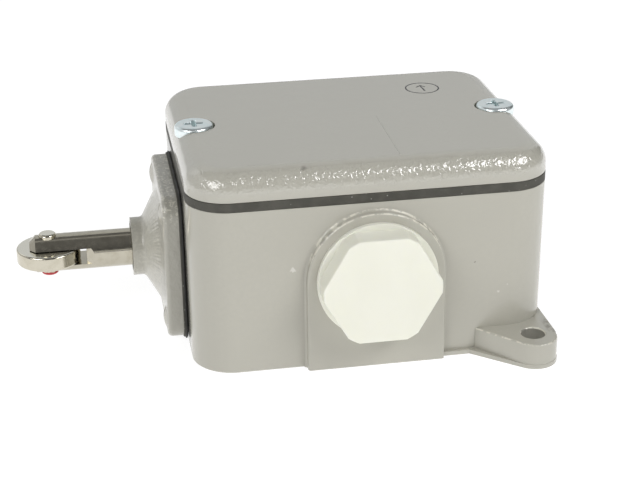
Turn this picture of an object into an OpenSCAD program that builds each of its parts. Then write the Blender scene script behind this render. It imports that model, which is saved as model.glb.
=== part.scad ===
// Roller plunger limit switch: a cast housing with a bolted cover, a sprung plunger with a roller
// in its fork, a closed cable entry and a double-break contact block inside.
// Millimetres. The mounting face is Z = 0, the plunger runs along X with its roller at the -X end,
// and the cable entry faces -Y. The origin lies midway between the two mounting holes.

/* [Housing] */
// Length of the housing at its rim
body_length = 84; // [84:1:110]
// Width of the housing at its rim
body_width = 68; // [64:1:90]
// Height of the housing up to the gasket
body_height = 40; // [39:0.5:55]
// Radius of the four upright corners
body_corner_r = 10; // [8:0.5:12]
// How far each side leans in from the rim down to the foot
body_draft = 0.2; // [0.1:0.1:0.8]
// Thickness of the side walls
body_wall = 4; // [3:0.5:4.5]
// Thickness of the floor
body_floor = 4; // [3:0.5:5]
// Size of the bevel round the foot
foot_bevel = 0.2; // [0.1:0.1:0.8]

/* [Mounting lugs] */
// Diameter of the mounting holes
lug_hole_d = 5.5; // [4.3:0.1:6.6]
// Radius of the rounded end of a lug
lug_end_r = 5.4; // [5:0.1:6]
// Height of a lug
lug_height = 6.2; // [4:0.1:10]
// Distance of a hole from the end face of the housing
lug_hole_inset = 5.5; // [5.4:0.1:8]
// Distance of a hole outside the long side of the housing
lug_hole_reach = 5; // [4.4:0.1:6]
// Distance of the middle of a lug's rounded end outside the long side of the housing
lug_end_reach = 5.8; // [5:0.1:7]
// Distance from the end face to where the lug's slanted edge leaves the long side
lug_root_inset = 18; // [15:0.5:24]
// Height of the thin flange round the foot of a lug
lug_flange_h = 1; // [0.6:0.1:2]
// How far that flange stands out round the lug's end
lug_flange_lip = 0.1; // [0.1:0.1:0.6]
// How far that flange stands out of the housing between the pad and the front lug
lug_flange_reach = 0.8; // [0.4:0.1:1.6]
// How far before the front lug that flange starts to lean out
lug_flange_run = 1.5; // [0.5:0.1:3]

/* [Cover] */
// Thickness of the cover gasket
gasket_t = 2.2; // [1:0.1:3]
// Height of the cover above the gasket
cover_height = 6.8; // [6:0.2:12]
// Radius of the rounded top edge of the cover
cover_edge_r = 5; // [3:0.5:6]
// Thickness of the cover's side wall
cover_wall = 3; // [2:0.5:4]
// Thickness of the cover's top
cover_top = 3; // [2:0.5:3.4]
// Distance of a cover screw from the end face of the housing
cover_screw_inset = 5; // [5:0.1:6]
// Thread diameter of the cover screws
cover_screw_d = 5; // [4:0.5:5]
// Length of the cover screws under the head
cover_screw_l = 14; // [12:1:15]
// Diameter of the cover screw heads
cover_head_d = 9.2; // [7.5:0.1:9.6]
// Height of the cover screw heads
cover_head_h = 2.6; // [2.4:0.1:3.6]
// Rounding of the cover screw heads
cover_head_round_r = 0.9; // [0.5:0.1:2]
// Length of the cross recess in a cover screw
cover_recess_l = 4.6; // [3.6:0.1:5.4]
// Width of that recess
cover_recess_w = 1.1; // [0.8:0.1:1.6]
// Depth of that recess
cover_recess_depth = 1.8; // [1:0.1:2]
// Gap between a cover screw head and the wall of its spot face
spot_face_gap = 0.5; // [0.3:0.1:0.6]
// Depth of that spot face below the top of the cover
spot_face_depth = 2; // [1.2:0.1:2.6]
// Radius of the screw boss inside the housing and the cover
cover_boss_r = 5; // [4.6:0.1:5.2]
// Depth of the tapped hole past the end of a cover screw
cover_tap_room = 1; // [0.5:0.1:2]
// Thickness of the boss under that hole
cover_boss_end_t = 1.5; // [1:0.1:2]

/* [Cable entry] */
// Distance from the top of the entry's pad up to the rim of the housing
entry_rim_gap = 1.9; // [0.9:0.1:3]
// Diameter of the entry thread
entry_thread_d = 22.5; // [16:0.1:23]
// Half width of the raised pad round the entry, also the radius of its arch
entry_pad_r = 16.1; // [15:0.1:16.6]
// How far the pad stands out of the housing
entry_pad_t = 2; // [1:0.1:3]
// Radius of the hollow fillet round the foot of the pad
entry_fillet_r = 0.6; // [0.3:0.1:0.9]
// Diameter of the plug's collar
plug_collar_d = 28; // [27.5:0.1:29]
// Thickness of the plug's collar
plug_collar_t = 1.2; // [0.8:0.1:3]
// Size across the flats of the plug's hexagon
plug_hex_af = 25; // [22:0.5:25.5]
// Diameter across the rounded corners of the hexagon
plug_hex_corner_d = 27.3; // [26.6:0.1:27.4]
// Length of the hexagon
plug_hex_l = 5.8; // [4:0.1:8]
// Length of the plug's thread
plug_thread_l = 9; // [7.5:0.5:12]
// Wall of the plug's hollow thread
plug_wall = 2.5; // [2:0.1:4]
// Diameter of the ring recess in the pad
seal_recess_d = 26; // [25.5:0.1:27]
// Thickness of the plug's sealing ring
seal_t = 1.2; // [0.8:0.1:1.6]

/* [Actuator head] */
// Height of the plunger axis above the mounting face
axis_z = 19.2; // [19:0.1:20.5]
// Thickness of the head gasket
head_gasket_t = 1; // [0.6:0.1:2]
// How far the head gasket stands out round the flange
head_gasket_lip = 0.4; // [0.1:0.1:0.6]
// Side of the square flange
head_size = 36; // [34:0.5:36.5]
// Corner radius of the flange
head_corner_r = 4.5; // [3:0.1:5]
// Thickness of the flange
head_plate_t = 3.7; // [3:0.1:5]
// How far the machined seat of the flange is set in from the flange's edge
head_seat_inset = 1.4; // [0.8:0.1:2]
// Diameter of the cone at the flange
cone_d = 28; // [24:0.5:28.5]
// Length of the cone
cone_length = 3.9; // [3:0.1:6]
// Diameter of the collar
collar_d = 14.1; // [13.7:0.1:16]
// Length of the collar
collar_length = 2.85; // [2.5:0.05:5]
// Radius of the fillet between cone and collar
collar_fillet_r = 1.2; // [0.6:0.1:1.6]
// Distance of the head screws from the plunger axis, across and up
head_screw_pitch = 13.3; // [12.6:0.1:13.6]
// Thread diameter of the head screws
head_screw_d = 3; // [2.5:0.1:3]
// Head diameter of the head screws
head_screw_head_d = 5.6; // [5:0.1:5.8]
// Height of the raised part of a head screw
head_screw_rise = 0.7; // [0.3:0.1:1]
// Width of the slot in a head screw
head_screw_slot_w = 0.8; // [0.5:0.1:1.2]

/* [Plunger and roller] */
// Diameter of the plunger
plunger_d = 9.1; // [8.4:0.1:9.4]
// Travel of the plunger
stroke = 5; // [3:0.5:5]
// Distance from the end of the collar to the roller pin
roller_reach = 19.9; // [18.5:0.1:30]
// Distance from the roller pin to the tip of the fork
fork_overhang = 4.4; // [3.5:0.1:6]
// Length of the bevel at the tip of the fork
fork_bevel = 1.4; // [0.5:0.1:2]
// Height of the fork's slot
slot_h = 4; // [3.8:0.1:4.4]
// Length of the slanted flanks at the end of the slot
slot_flank = 1.9; // [1:0.1:2.4]
// Depth of those flanks at the sides of the plunger
slot_flank_depth = 1.1; // [0.6:0.1:1.8]
// Gap between the roller and the end of the slot
slot_end_gap = 1.4; // [0.5:0.1:2]
// Diameter of the roller
roller_d = 15.2; // [13:0.1:18]
// Thickness of the roller
roller_t = 3.6; // [2.6:0.1:3.6]
// Bevel on the roller's rim
roller_bevel = 0.6; // [0.2:0.1:0.9]
// Diameter of the roller pin
pin_d = 4.2; // [3:0.1:4.6]
// How far each end of the pin stands out of the plunger
pin_stand_out = 0.7; // [0.5:0.1:1.5]
// Bevel on the ends of the pin
pin_bevel = 0.4; // [0.2:0.1:0.6]
// Outside diameter of the guide bush
bush_d = 11.8; // [11.4:0.1:12]
// Diameter of the flange of the bush
bush_flange_d = 15; // [14:0.1:16]
// Thickness of the flange of the bush
bush_flange_t = 2; // [1:0.1:2.2]
// How far the bush stands into the housing
bush_stand_in = 1; // [0.5:0.1:1.5]
// Length of the wiper ring
wiper_l = 1.9; // [1:0.1:2]
// How far the wiper ring is set back in the mouth of the collar
wiper_set_back = 0.3; // [0.1:0.1:0.5]
// Outside diameter of the stop ring
stop_ring_d = 12.8; // [12:0.1:13.6]
// Thickness of the stop ring
stop_ring_t = 1.1; // [0.8:0.1:1.4]
// Depth of the stop ring's groove in the plunger
stop_groove = 0.8; // [0.5:0.1:1]
// Opening of the stop ring
stop_ring_mouth = 4.6; // [3:0.1:5]

/* [Return spring] */
// Wire diameter of the return spring
spring_wire_d = 1; // [0.6:0.1:1.2]
// Pitch of the return spring at rest, made to fit whole turns
spring_pitch = 3.3; // [2.5:0.1:4.5]
// Thickness of the spring's seat
spring_seat_t = 1; // [0.6:0.1:1.4]
// Outside diameter of the spring's seat
spring_seat_d = 13.4; // [13:0.1:14]

/* [Contact block] */
// Width of the contact block
block_width = 32; // [32:0.5:38]
// Height of the contact block
block_height = 26; // [24:0.5:27]
// Height of the posts that carry the block
block_post_h = 4; // [3:0.5:5]
// Diameter of those posts
block_post_d = 9; // [8:0.5:10]
// Thickness of the block's end wall at the plunger
block_end_wall = 3.5; // [2.5:0.5:4.5]
// Gap between the block and the boss of the cover screw at its end
block_end_gap = 2; // [0.5:0.1:3]
// Length of a terminal's seat on the block
terminal_length = 8; // [7.5:0.1:8.5]
// Side of the square contact carrier
carrier_size = 10; // [9.5:0.1:10.5]
// Length of carrier ahead of the first window
carrier_lead = 8.7; // [7.4:0.1:9.4]
// Length of carrier between the two windows
carrier_web = 3.5; // [2.5:0.1:3.8]
// Length of carrier behind the second window
carrier_tail = 3; // [2:0.1:3.4]
// Diameter of the plunger's spigot in the carrier
spigot_d = 5; // [4:0.1:6]
// Length of that spigot
spigot_l = 6; // [4:0.5:6.5]
// Thickness of the contact strips and bridges
strip_t = 1.2; // [0.8:0.1:1.4]
// Height of a bridge
bridge_h = 4; // [3.5:0.1:4.5]
// Length of a bridge
bridge_l = 26; // [25:0.5:26.5]
// Distance of a contact from the middle of the block
contact_y = 10; // [9.5:0.1:10.4]
// Width of a fixed contact strip
strip_w = 7; // [6:0.1:7.2]
// Diameter of a contact tip
tip_d = 3.6; // [3:0.1:4]
// Thickness of a contact tip
tip_t = 0.8; // [0.5:0.1:1]
// Length of a bridge spring
bridge_spring_l = 5.3; // [4.5:0.1:5.6]
// Outside diameter of a bridge spring
bridge_spring_d = 3.6; // [3:0.1:3.8]
// Wire diameter of a bridge spring
bridge_spring_wire_d = 0.6; // [0.4:0.1:0.7]
// Number of turns of a bridge spring
bridge_spring_turns = 3; // [2:1:4]

/* [Inside screws] */
// Thread diameter of the block screws
block_screw_d = 3; // [2.5:0.1:3.2]
// Head diameter of the block screws
block_head_d = 5.6; // [5:0.1:5.7]
// Head height of the block screws
block_head_h = 2.2; // [1.6:0.1:3]
// Thickness of block under the head of a block screw
block_foot_t = 6; // [4:0.5:8]
// Distance of a block screw from the middle of the block
block_screw_y = 11.2; // [9.6:0.1:12]
// Rounding of the heads of the inside screws
inside_head_round_r = 1.1; // [0.6:0.1:1.4]
// Length of the cross recess in an inside screw
inside_recess_l = 3.6; // [2.8:0.1:3.8]
// Width of that recess
inside_recess_w = 0.9; // [0.6:0.1:1.1]
// Depth of that recess
inside_recess_depth = 1.3; // [0.8:0.1:1.5]
// Bevel at the tip of every cross-recessed screw
screw_tip_bevel = 0.5; // [0.2:0.1:0.8]
// Thread diameter of the terminal screws
terminal_screw_d = 3.5; // [3:0.1:3.8]
// Length of the terminal screws below their clamp plates
terminal_screw_l = 8; // [6:0.5:9]
// Head diameter of the terminal and earth screws
terminal_head_d = 6.4; // [5.5:0.1:6.6]
// Head height of the terminal and earth screws
terminal_head_h = 2.4; // [1.8:0.1:3]
// Side of a clamp plate
clamp_size = 6.8; // [6:0.1:7]
// Thickness of a clamp plate
clamp_t = 1.2; // [0.8:0.1:1.6]
// Distance of the earth terminal from the end face at the head
earth_inset_x = 17; // [15:0.5:18]
// Distance of the earth terminal from the long side at the entry
earth_inset_y = 12; // [10:0.5:12]
// Height of the earth terminal's post
earth_post_h = 5; // [4:0.5:7]

/* [Clearances] */
// Gap round a thread in its hole
thread_gap = 0.03; // [0.02:0.01:0.05]
// Gap round a screw that passes through a hole
pass_gap = 0.2; // [0.1:0.05:0.3]
// Gap round a piece that is pressed or set in its bore
set_gap = 0.02; // [0.01:0.01:0.03]
// Running gap round the plunger and inside the roller
run_gap = 0.05; // [0.02:0.01:0.08]
// Gap round pieces that pass without touching
free_gap = 0.3; // [0.25:0.05:0.5]
// Gap on the sides of the sliding carrier
slide_gap = 0.15; // [0.1:0.05:0.3]
// Gap between faces that meet at the ends of the travel
touch_gap = 0.05; // [0.03:0.01:0.1]

/* [Hidden] */
$fn = 64;

// Colours of the materials
paint_grey = [0.70, 0.69, 0.65];
rubber_black = [0.14, 0.14, 0.13];
steel = [0.78, 0.77, 0.74];
zinc = [0.82, 0.84, 0.84];
bronze = [0.72, 0.55, 0.32];
plug_white = [0.92, 0.91, 0.86];
moulding_brown = [0.23, 0.15, 0.11];
moulding_cream = [0.87, 0.83, 0.70];
brass_yellow = [0.80, 0.65, 0.30];
silver = [0.86, 0.86, 0.84];

// Overlap of a cut past the face it opens
cut = 1;

// Overlap of a screw's shank with its head
join = 0.3;

// Heights of the stack from the rim up
cover_z = body_height + gasket_t;
cover_top_z = cover_z + cover_height;
cover_seat_z = cover_top_z - spot_face_depth;
spot_face_d = cover_head_d + 2 * spot_face_gap;
cover_screw_x = body_length / 2 - cover_screw_inset;
cover_bore_bottom_z = cover_seat_z - cover_screw_l - cover_tap_room;
cover_boss_bottom_z = cover_bore_bottom_z - cover_boss_end_t;

// Places along the plunger axis, from the left face of the housing outwards
face_x = -body_length / 2;
head_back_x = face_x - head_gasket_t;
head_front_x = head_back_x - head_plate_t;
cone_end_x = head_front_x - cone_length;
collar_end_x = cone_end_x - collar_length;
pin_x = collar_end_x - roller_reach;
fork_tip_x = pin_x - fork_overhang;
slot_end_x = pin_x + roller_d / 2 + slot_end_gap;

// Places along the plunger axis, from the left face of the housing inwards
wall_in_x = face_x + body_wall;
bush_start_x = collar_end_x + wiper_set_back + wiper_l;
bush_end_x = wall_in_x + bush_stand_in;
stop_x = bush_end_x + touch_gap;
seat_x = stop_x + stop_ring_t;
spring_x = seat_x + spring_seat_t;

// Places of the contacts along the carrier, from the right end of the housing inwards
block_end_x = cover_screw_x - cover_boss_r - block_end_gap;
no_strip_x = block_end_x - terminal_length - strip_t;
window_l = strip_t + bridge_spring_l;
no_window_end_x = no_strip_x - touch_gap - stroke - 2 * tip_t;
no_window_x = no_window_end_x - window_l;
no_bridge_x = no_window_x + bridge_spring_l;
carrier_end_x = no_window_end_x + carrier_tail;
nc_window_x = no_window_x - carrier_web - window_l;
nc_strip_x = nc_window_x - 2 * tip_t - touch_gap - strip_t;
carrier_x = nc_window_x - carrier_lead;
block_x = carrier_x - free_gap - block_end_wall;
channel_end_x = carrier_end_x + stroke + free_gap;
nc_pocket_end_x = nc_window_x + strip_t + stroke + free_gap;
no_pocket_x = no_bridge_x - free_gap;
block_screw_x = (nc_pocket_end_x + no_pocket_x) / 2;

// Heights and half widths of the contact block
block_z = body_floor + block_post_h;
block_top_z = block_z + block_height;
channel_z = axis_z - carrier_size / 2 - slide_gap;
channel_half_w = carrier_size / 2 + slide_gap;
pocket_half_w = max(bridge_l / 2, contact_y + strip_w / 2) + free_gap;
nc_terminal_x = nc_strip_x - terminal_length / 2;
no_terminal_x = no_strip_x + strip_t + terminal_length / 2;
clamp_z = block_top_z + strip_t;

// Where a lug's slanted edge leaves the long side
lug_root = [body_length / 2 - lug_root_inset, -body_width / 2];
// How far inside the round end that edge stops, so that the two cross
lug_blend = 0.005;

// Cable entry
entry_z = body_height - entry_rim_gap - entry_pad_r;
pad_y = -body_width / 2 - entry_pad_t;

// Earth terminal
earth_x = face_x + earth_inset_x;
earth_y = -body_width / 2 + earth_inset_y;
earth_z = body_floor + earth_post_h;

// Springs
spring_length = block_x - spring_x;
spring_turns = round(spring_length / spring_pitch);
spring_mean_r = plunger_d / 2 + free_gap + spring_wire_d / 2;
bridge_spring_mean_r = (bridge_spring_d - bridge_spring_wire_d) / 2;

// Steps over half a wire and slices in a turn, for the return spring and the small bridge springs
return_steps = 6;
return_slices = 24;
bridge_steps = 4;
bridge_slices = 18;

// Cross recess of the inside screws
inside_recess = [inside_recess_l, inside_recess_w, inside_recess_depth];

// Plain shapes

// Rectangle with round corners
module rounded_rect(length, width, radius) {
    square([length - 2 * radius, width], center = true);
    square([length, width - 2 * radius], center = true);
    for (side_x = [-1, 1], side_y = [-1, 1])
        translate([side_x * (length / 2 - radius), side_y * (width / 2 - radius)])
            circle(r = radius);
}

// Puts its children on the plunger axis, with their Z along +X, starting at x
module on_axis(x) {
    translate([x, 0, axis_z]) rotate([0, 90, 0]) children();
}

// Ring on its own Z axis
module ring(outer_d, inner_d, height) {
    difference() {
        cylinder(d = outer_d, h = height);
        translate([0, 0, -cut]) cylinder(d = inner_d, h = height + 2 * cut);
    }
}

// Right half of a bar end of the given width and height, with its top corner rounded
module rounded_side(width, height, radius) {
    intersection() {
        square([width, height]);
        union() {
            square([width - radius, height]);
            square([width, height - radius]);
            translate([width - radius, height - radius]) circle(r = radius);
        }
    }
}

// Cross recess, cut down from z = 0
module cross_recess(length, width, depth) {
    for (turn = [0, 90])
        rotate([0, 0, turn])
            translate([-length / 2, -width / 2, -depth]) cube([length, width, depth + cut]);
}

// Pan head screw with a cross recess of the given length, width and depth; its head sits on z = 0
// and its shank points down
module pan_screw(head_d, head_h, round_r, recess, shank_d, shank_l) {
    difference() {
        rotate_extrude() rounded_side(head_d / 2, head_h, round_r);
        translate([0, 0, head_h]) cross_recess(recess[0], recess[1], recess[2]);
    }
    shank_r = shank_d / 2;
    rotate_extrude()
        polygon([[0, -shank_l], [shank_r - screw_tip_bevel, -shank_l],
            [shank_r, -shank_l + screw_tip_bevel], [shank_r, join], [0, join]]);
}

// Cut across a round wire's coil: a kidney shape that a twisted extrusion turns into the wire
function coil_half_thickness(angle, wire_r, pitch) =
    sqrt(max(0, pow(wire_r, 2) - pow(angle / 360 * pitch, 2)));
function coil_section(mean_r, wire_r, pitch, steps) =
    let (reach = wire_r / pitch * 360)
    concat(
        [for (i = [-steps : steps])
            let (a = i / steps * reach)
            (mean_r + coil_half_thickness(a, wire_r, pitch)) * [cos(a), sin(a)]],
        [for (i = [steps - 1 : -1 : 1 - steps])
            let (a = i / steps * reach)
            (mean_r - coil_half_thickness(a, wire_r, pitch)) * [cos(a), sin(a)]]);

// Coil spring with flat ends on its own Z axis
module coil(mean_r, wire_d, length, turns, steps, slices_per_turn) {
    linear_extrude(height = length, twist = -360 * turns, slices = turns * slices_per_turn,
        $fn = 4 * steps)
        polygon(coil_section(mean_r, wire_d / 2, length / turns, steps));
}

// Housing

// Half size of the leaning outside at the bevel
function lean_at_bevel() = body_draft * (1 - foot_bevel / body_height);

// Upright section of the housing between two opposite sides
module leaning_section(size) {
    foot = size / 2 - body_draft - foot_bevel;
    knee = size / 2 - lean_at_bevel();
    rim = size / 2;
    polygon([[-foot, 0], [foot, 0], [knee, foot_bevel], [rim, body_height],
        [-rim, body_height], [-knee, foot_bevel]]);
}

// Outside of the housing without pad and lugs
module housing_block() {
    core_l = body_length - 2 * body_corner_r;
    core_w = body_width - 2 * body_corner_r;
    rotate([90, 0, 0])
        linear_extrude(height = core_w, center = true) leaning_section(body_length);
    rotate([90, 0, 90])
        linear_extrude(height = core_l, center = true) leaning_section(body_width);
    for (side_x = [-1, 1], side_y = [-1, 1])
        translate([side_x * core_l / 2, side_y * core_w / 2, 0])
            rotate_extrude() intersection() {
                leaning_section(2 * body_corner_r);
                square([body_corner_r, body_height]);
            }
}

// Inside of the housing
module housing_cavity() {
    translate([0, 0, body_floor])
        linear_extrude(height = body_height)
            rounded_rect(body_length - 2 * body_wall, body_width - 2 * body_wall,
                body_corner_r - body_wall);
}

// Outline of the lug at the front right corner, from the root of its slanted edge to its round end
module lug_outline(root, end_r) {
    centre = [body_length / 2 - lug_hole_inset, -body_width / 2 - lug_end_reach];
    reach = norm(centre - root);
    offset = end_r - lug_blend;
    bearing = atan2(centre[1] - root[1], centre[0] - root[0]) - asin(offset / reach);
    edge_end = root + sqrt(pow(reach, 2) - pow(offset, 2)) * [cos(bearing), sin(bearing)];
    inner_y = -body_width / 2 + 2 * body_corner_r;
    inner_x = body_length / 2 - body_draft - foot_bevel;
    polygon([root, edge_end, centre, [centre[0] + end_r, centre[1]], [inner_x, inner_y],
        [root[0], inner_y]]);
    translate(centre) circle(r = end_r);
}

// Lug at the front right corner, on a thin flange that starts at a root of its own
module lug(flange_root) {
    linear_extrude(height = lug_height) lug_outline(lug_root, lug_end_r);
    linear_extrude(height = lug_flange_h) lug_outline(flange_root, lug_end_r + lug_flange_lip);
}

// The front lug's flange, led on along the housing into the pad
module pad_flange() {
    translate([0, -body_width / 2 - lug_flange_reach, 0])
        cube([lug_root[0] + cut, lug_flange_reach + body_wall, lug_flange_h]);
}

// Both lugs' holes
module lug_holes() {
    for (side = [1, -1])
        translate([side * (body_length / 2 - lug_hole_inset),
            -side * (body_width / 2 + lug_hole_reach), -cut])
            cylinder(d = lug_hole_d, h = lug_height + 2 * cut);
}

// Arched pad round the cable entry, with a hollow fillet round its edge
module entry_pad() {
    root = entry_pad_t + body_draft + cut;
    translate([0, -body_width / 2 + body_draft + cut, 0]) rotate([90, 0, 0])
        linear_extrude(height = root) {
            translate([-entry_pad_r, 0]) square([2 * entry_pad_r, entry_z]);
            translate([0, entry_z]) circle(r = entry_pad_r);
        }
    translate([0, -body_width / 2, entry_z]) rotate([90, 0, 0])
        rotate_extrude(angle = 180) pad_fillet();
    for (side = [0, 1])
        mirror([side, 0, 0]) translate([0, -body_width / 2, 0])
            linear_extrude(height = entry_z) mirror([0, 1]) pad_fillet();
}

// Section of the pad's fillet, rooted in the leaning side of the housing
module pad_fillet() {
    difference() {
        translate([entry_pad_r - cut, -body_draft])
            square([entry_fillet_r + cut, entry_fillet_r + body_draft]);
        translate([entry_pad_r + entry_fillet_r, entry_fillet_r]) circle(r = entry_fillet_r);
    }
}

// Machined seat of the actuator head on the left side
module head_seat() {
    size = head_size - 2 * head_seat_inset;
    on_axis(face_x) linear_extrude(height = body_wall) rounded_rect(size, size, head_corner_r);
}

// Bosses of the two cover screws, rooted halfway into the end walls
module cover_bosses() {
    root = cover_screw_inset - body_wall / 2;
    for (side = [0, 1])
        mirror([side, 0, 0]) translate([cover_screw_x, 0, cover_boss_bottom_z])
            linear_extrude(height = body_height - cover_boss_bottom_z) {
                intersection() {
                    circle(r = cover_boss_r);
                    translate([-2 * cover_boss_r, -cover_boss_r])
                        square([2 * cover_boss_r + root, 2 * cover_boss_r]);
                }
                translate([0, -cover_boss_r]) square([root, 2 * cover_boss_r]);
            }
}

// Posts on the floor for the contact block and the earth terminal
module floor_posts() {
    for (side = [-1, 1])
        translate([block_screw_x, side * block_screw_y, body_floor - cut])
            cylinder(d = block_post_d, h = block_post_h + cut);
    translate([earth_x, earth_y, body_floor - cut])
        cylinder(d = block_post_d, h = earth_post_h + cut);
}

// Tapped holes in the bosses and posts
module housing_threads() {
    for (side = [-1, 1]) {
        translate([side * cover_screw_x, 0, cover_bore_bottom_z])
            cylinder(d = cover_screw_d + 2 * thread_gap, h = body_height);
        translate([block_screw_x, side * block_screw_y, body_floor / 2])
            cylinder(d = block_screw_d + 2 * thread_gap, h = body_height);
    }
    translate([earth_x, earth_y, body_floor / 2])
        cylinder(d = terminal_screw_d + 2 * thread_gap, h = body_height);
    head_screw_places(face_x - cut)
        cylinder(d = head_screw_d + 2 * thread_gap, h = body_wall + 2 * cut);
}

// Puts its children at the four head screws, with their Z along +X
module head_screw_places(x) {
    for (side_y = [-1, 1], side_z = [-1, 1])
        translate([0, side_y * head_screw_pitch, side_z * head_screw_pitch])
            on_axis(x) children();
}

module body_housing() {
    color(paint_grey) difference() {
        union() {
            difference() {
                union() {
                    housing_block();
                    lug(lug_root - [lug_flange_run, lug_flange_reach]);
                    rotate([0, 0, 180]) lug(lug_root);
                    pad_flange();
                    entry_pad();
                    head_seat();
                }
                housing_cavity();
            }
            cover_bosses();
            floor_posts();
        }
        lug_holes();
        housing_threads();
        on_axis(face_x - cut) cylinder(d = bush_d + 2 * pass_gap, h = body_wall + 2 * cut);
        translate([0, pad_y - cut, entry_z]) rotate([-90, 0, 0])
            cylinder(d = entry_thread_d + 2 * thread_gap, h = body_wall + entry_pad_t + 2 * cut);
        translate([0, pad_y - cut, entry_z]) rotate([-90, 0, 0])
            cylinder(d = seal_recess_d, h = seal_t + cut);
    }
}

// Cover and its gasket

// Outside of the cover
module cover_block() {
    core_l = body_length - 2 * body_corner_r;
    core_w = body_width - 2 * body_corner_r;
    rotate([90, 0, 0]) linear_extrude(height = core_w, center = true)
        for (side = [0, 1])
            mirror([side, 0]) rounded_side(body_length / 2, cover_height, cover_edge_r);
    rotate([90, 0, 90]) linear_extrude(height = core_l, center = true)
        for (side = [0, 1])
            mirror([side, 0]) rounded_side(body_width / 2, cover_height, cover_edge_r);
    for (side_x = [-1, 1], side_y = [-1, 1])
        translate([side_x * core_l / 2, side_y * core_w / 2, 0])
            rotate_extrude() rounded_side(body_corner_r, cover_height, cover_edge_r);
}

// Puts its children at both cover screws
module cover_screw_places(z) {
    for (side = [-1, 1])
        translate([side * cover_screw_x, 0, z]) children();
}

module cover() {
    inside_h = cover_height - cover_top;
    color(paint_grey) difference() {
        translate([0, 0, cover_z]) cover_block();
        difference() {
            translate([0, 0, cover_z - cut]) linear_extrude(height = inside_h + cut)
                rounded_rect(body_length - 2 * cover_wall, body_width - 2 * cover_wall,
                    body_corner_r - cover_wall);
            cover_screw_places(cover_z - 2 * cut) cylinder(r = cover_boss_r, h = cover_height);
        }
        cover_screw_places(cover_z - cut)
            cylinder(d = cover_screw_d + 2 * pass_gap, h = cover_height + 2 * cut);
        cover_screw_places(cover_seat_z) cylinder(d = spot_face_d, h = spot_face_depth + cut);
    }
}

module cover_gasket() {
    color(rubber_black) translate([0, 0, body_height]) linear_extrude(height = gasket_t)
        difference() {
            rounded_rect(body_length, body_width, body_corner_r);
            difference() {
                rounded_rect(body_length - 2 * body_wall, body_width - 2 * body_wall,
                    body_corner_r - body_wall);
                for (side = [-1, 1])
                    translate([side * cover_screw_x, 0]) circle(r = cover_boss_r);
            }
            for (side = [-1, 1])
                translate([side * cover_screw_x, 0]) circle(d = cover_screw_d + 2 * pass_gap);
        }
}

module cover_screws() {
    color(zinc) cover_screw_places(cover_seat_z)
        pan_screw(cover_head_d, cover_head_h, cover_head_round_r,
            [cover_recess_l, cover_recess_w, cover_recess_depth], cover_screw_d, cover_screw_l);
}

// Actuator head

// Half section of cone and collar: the first value is the radius, the second runs outwards
module head_section() {
    cone_r = cone_d / 2;
    collar_r = collar_d / 2;
    lean = atan2(cone_r - collar_r, cone_length);
    tangent_l = collar_fillet_r * tan(lean / 2);
    corner = [collar_r, cone_length];
    on_cone = corner + tangent_l * [sin(lean), -cos(lean)];
    on_collar = corner + [0, tangent_l];
    polygon([[0, -cut], [cone_r, -cut], [cone_r, 0], corner, [collar_r, cone_length + collar_length],
        [0, cone_length + collar_length]]);
    difference() {
        polygon([corner, on_cone, [collar_r + collar_fillet_r, on_collar[1]], on_collar]);
        translate([collar_r + collar_fillet_r, on_collar[1]]) circle(r = collar_fillet_r);
    }
}

module actuator_head() {
    reach = head_back_x - collar_end_x;
    color(paint_grey) difference() {
        union() {
            on_axis(head_front_x)
                linear_extrude(height = head_plate_t)
                    rounded_rect(head_size, head_size, head_corner_r);
            on_axis(head_front_x) mirror([0, 0, 1]) rotate_extrude() head_section();
        }
        on_axis(collar_end_x - cut) cylinder(d = bush_d + 2 * set_gap, h = reach + 2 * cut);
        on_axis(head_back_x - bush_flange_t)
            cylinder(d = bush_flange_d + 2 * pass_gap, h = bush_flange_t + cut);
        head_screw_places(head_front_x - cut)
            cylinder(d = head_screw_d + 2 * pass_gap, h = head_plate_t + 2 * cut);
        head_screw_places(head_front_x) countersink(2 * set_gap);
    }
}

// Cone of a countersunk head, widened for its seat, opening at z = 0
module countersink(widen) {
    depth = (head_screw_head_d - head_screw_d) / 2;
    cylinder(d1 = head_screw_head_d + widen, d2 = head_screw_d + widen, h = depth);
}

module head_gasket() {
    size = head_size + 2 * head_gasket_lip;
    color(rubber_black) difference() {
        on_axis(head_back_x) linear_extrude(height = head_gasket_t)
            rounded_rect(size, size, head_corner_r + head_gasket_lip);
        on_axis(head_back_x - cut) cylinder(d = bush_d + 2 * pass_gap, h = head_gasket_t + 2 * cut);
        head_screw_places(head_back_x - cut)
            cylinder(d = head_screw_d + 2 * pass_gap, h = head_gasket_t + 2 * cut);
    }
}

module head_screws() {
    shank_l = head_plate_t + head_gasket_t + body_wall;
    dome_r = (pow(head_screw_head_d / 2, 2) + pow(head_screw_rise, 2)) / (2 * head_screw_rise);
    color(zinc) head_screw_places(head_front_x) {
        countersink(0);
        cylinder(d = head_screw_d, h = shank_l);
        difference() {
            intersection() {
                translate([0, 0, dome_r - head_screw_rise]) sphere(r = dome_r);
                translate([0, 0, -head_screw_rise - cut])
                    cylinder(d = head_screw_head_d, h = head_screw_rise + cut);
            }
            translate([-head_screw_head_d / 2, -head_screw_slot_w / 2, -head_screw_rise - cut])
                cube([head_screw_head_d, head_screw_slot_w, head_screw_rise + cut]);
        }
    }
}

module guide_bush() {
    body_l = bush_end_x - bush_start_x;
    color(bronze) difference() {
        union() {
            on_axis(bush_start_x) cylinder(d = bush_d, h = body_l);
            on_axis(head_back_x - bush_flange_t) cylinder(d = bush_flange_d, h = bush_flange_t);
        }
        on_axis(bush_start_x - cut) cylinder(d = plunger_d + 2 * run_gap, h = body_l + 2 * cut);
    }
}

module wiper_ring() {
    color(rubber_black) on_axis(collar_end_x + wiper_set_back)
        ring(bush_d, plunger_d + 2 * run_gap, wiper_l);
}

// Plunger and roller

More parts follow.
